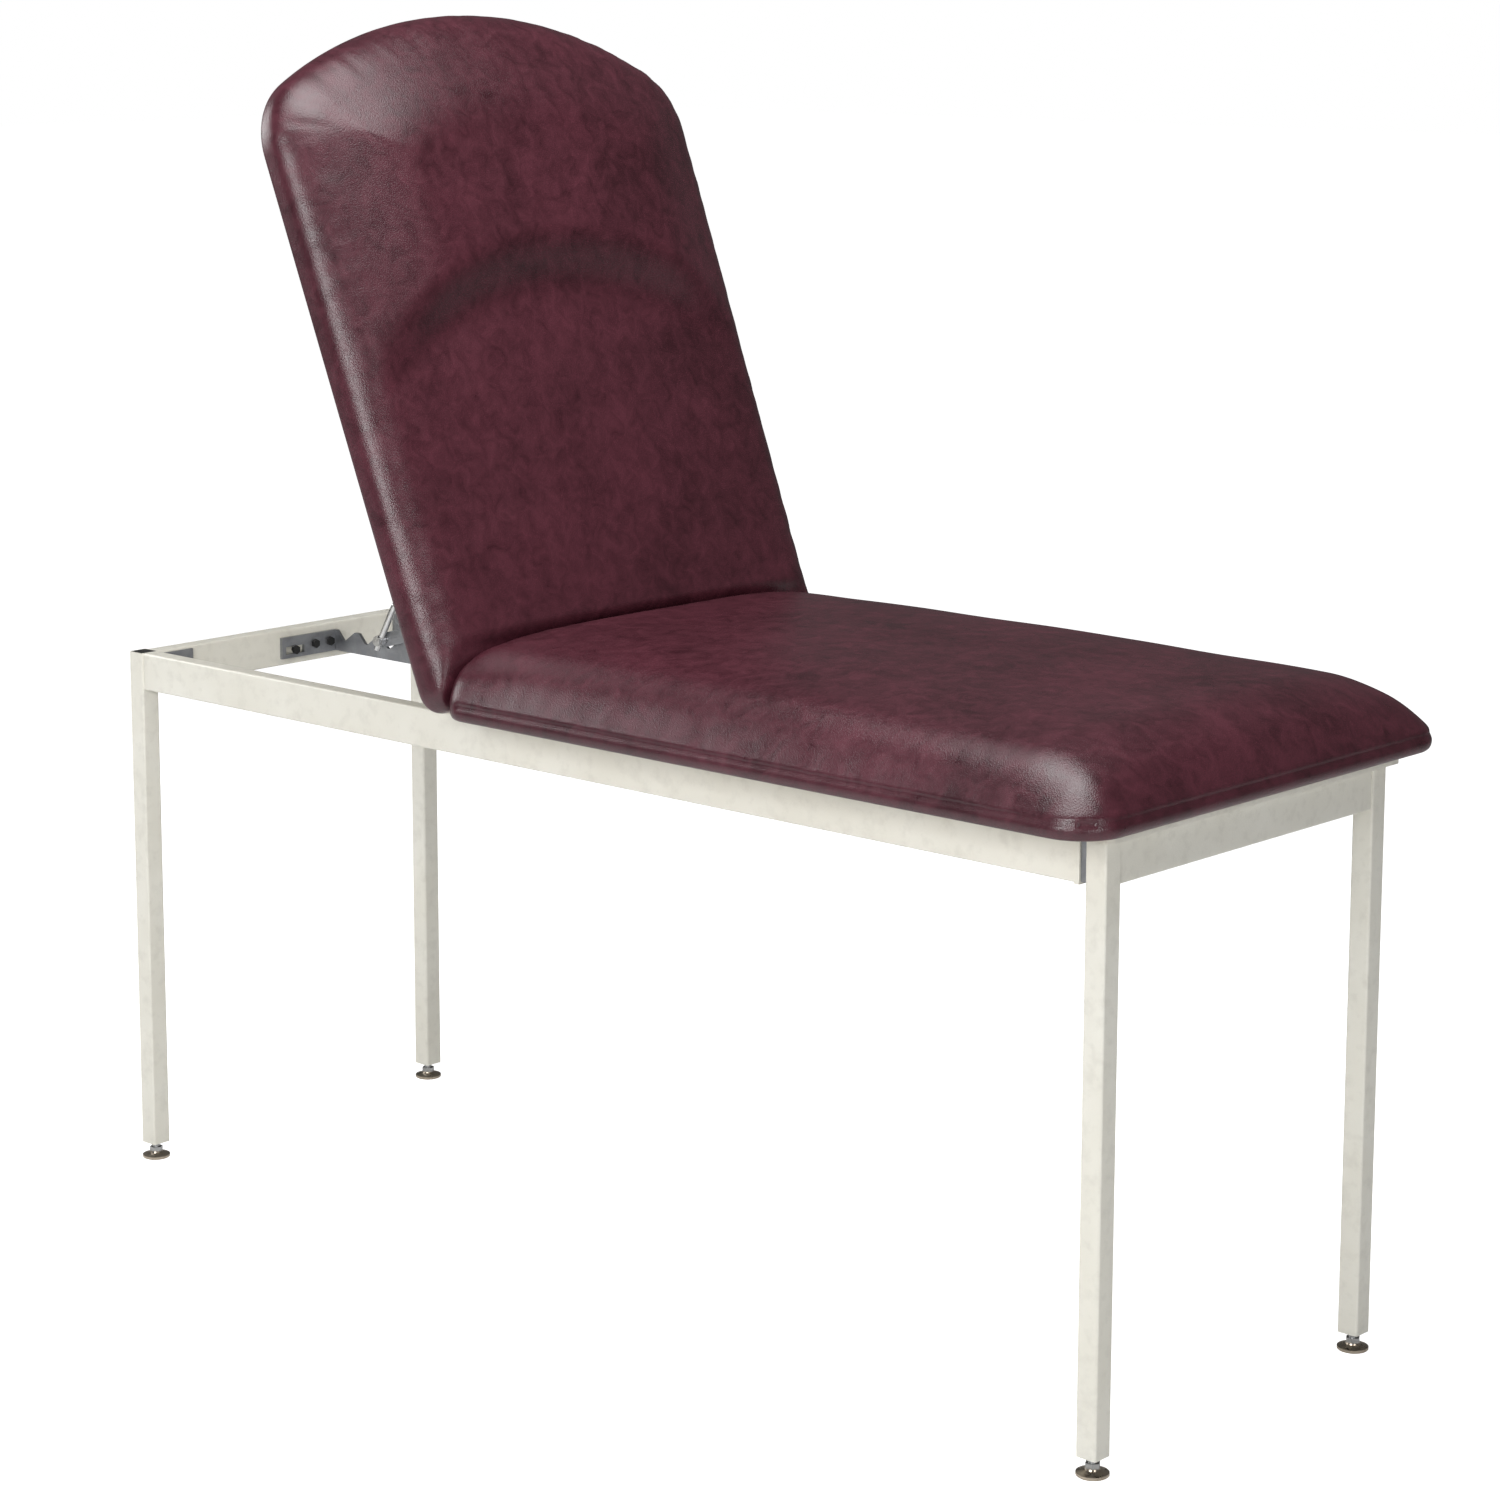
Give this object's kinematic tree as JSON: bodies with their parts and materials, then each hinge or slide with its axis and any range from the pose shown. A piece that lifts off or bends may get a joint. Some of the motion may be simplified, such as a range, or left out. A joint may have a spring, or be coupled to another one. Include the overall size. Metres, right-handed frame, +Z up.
{
  "type": "medical exam table",
  "caption": "Padded examination table on a square-tube frame with levelling feet, with a hinged backrest held by a prop in a notched comb.",
  "frame": {"origin": "on the floor, under the centre of the table's bounding box with the backrest at its top notch", "axes": "+X along the length towards the foot end, +Y across to the far side, +Z up"},
  "size_m": [1.702, 0.692, 1.5796],
  "materials": {
    "frame_paint": "semi-gloss off-white powder coat",
    "zinc_steel": "grey zinc plate",
    "bright_fasteners": "bright zinc",
    "black_fasteners": "black oxide",
    "bright_rod": "polished",
    "black_plastic": "moulded",
    "rubber": "matt black",
    "plywood": "bare birch plywood",
    "foam": "open-cell foam",
    "vinyl": "burgundy upholstery vinyl, fine leather grain",
    "leveler_nickel": "satin nickel",
    "leveler_steel": "zinc plate"
  },
  "bodies": {
    "frame": {"comb": "zinc_steel", "comb_bolts": "black_fasteners", "foot_rail": "frame_paint", "gusset_bolts": "bright_fasteners", "gusset_foot_far": "zinc_steel", "gusset_foot_near": "zinc_steel", "gusset_head_far": "zinc_steel", "gusset_head_near": "zinc_steel", "head_rail": "frame_paint", "hinge_bracket_far": "zinc_steel", "hinge_bracket_near": "zinc_steel", "hinge_pin_far": "bright_fasteners", "hinge_pin_near": "bright_fasteners", "hinge_rail": "frame_paint", "leg_caps": "black_plastic", "leg_foot_far": "frame_paint", "leg_foot_near": "frame_paint", "leg_head_far": "frame_paint", "leg_head_near": "frame_paint", "leg_inserts": "black_plastic", "rail_end_cap_far": "frame_paint", "rail_end_cap_near": "frame_paint", "rail_stub_far": "zinc_steel", "rail_stub_near": "zinc_steel", "seat_board": "plywood", "seat_cover": "vinyl", "seat_foam": "foam", "seat_pan": "frame_paint", "seat_pan_strips": "rubber", "side_rail_far": "frame_paint", "side_rail_near": "frame_paint"},
    "backrest": {"back_board": "plywood", "back_bumpers": "rubber", "back_cover": "vinyl", "back_foam": "foam", "back_pan": "frame_paint", "hinge_leaf_far": "zinc_steel", "hinge_leaf_near": "zinc_steel", "prop_bracket": "zinc_steel", "prop_pivot_pin": "bright_fasteners"},
    "prop": {"prop_foot_pin": "bright_fasteners", "prop_spacer": "zinc_steel", "prop_spacer_bolts": "bright_fasteners", "prop_strap_far": "zinc_steel", "prop_strap_near": "zinc_steel"},
    "release_lever": {"release_lever": "bright_rod"},
    "leveler_head_near": {"leveler_disc_head_near": "leveler_nickel", "leveler_nut_head_near": "leveler_steel", "leveler_stem_head_near": "leveler_steel"},
    "leveler_head_far": {"leveler_disc_head_far": "leveler_nickel", "leveler_nut_head_far": "leveler_steel", "leveler_stem_head_far": "leveler_steel"},
    "leveler_foot_near": {"leveler_disc_foot_near": "leveler_nickel", "leveler_nut_foot_near": "leveler_steel", "leveler_stem_foot_near": "leveler_steel"},
    "leveler_foot_far": {"leveler_disc_foot_far": "leveler_nickel", "leveler_nut_foot_far": "leveler_steel", "leveler_stem_foot_far": "leveler_steel"}
  },
  "joints": [
    {"name": "backrest_recline", "type": "hinge", "parent": "frame", "child": "backrest", "pos_m": [-0.18, 0, 0.722], "axis": [0, 1, 0], "range_deg": [-68.5, 0]},
    {"name": "prop_fold", "type": "hinge", "parent": "backrest", "child": "prop", "pos_m": [-0.24067, 0.075, 0.83782], "axis": [0, 1, 0], "range_deg": [0, 84.6]},
    {"name": "lever_fold", "type": "hinge", "parent": "prop", "child": "release_lever", "pos_m": [-0.70084, 0.075, 0.70848], "axis": [0, 1, 0], "range_deg": [0, 44.4]},
    {"name": "leveler_head_near_screw", "type": "slide", "parent": "frame", "child": "leveler_head_near", "axis": [0, 0, 1], "range_m": [-0.02, 0.006]},
    {"name": "leveler_head_far_screw", "type": "slide", "parent": "frame", "child": "leveler_head_far", "axis": [0, 0, 1], "range_m": [-0.02, 0.006]},
    {"name": "leveler_foot_near_screw", "type": "slide", "parent": "frame", "child": "leveler_foot_near", "axis": [0, 0, 1], "range_m": [-0.02, 0.006]},
    {"name": "leveler_foot_far_screw", "type": "slide", "parent": "frame", "child": "leveler_foot_far", "axis": [0, 0, 1], "range_m": [-0.02, 0.006]}
  ],
  "couplings": [
    {"joint": "prop_fold", "follows": "backrest_recline", "ratio": -1.2345},
    {"joint": "lever_fold", "follows": "backrest_recline", "ratio": -0.647}
  ]
}
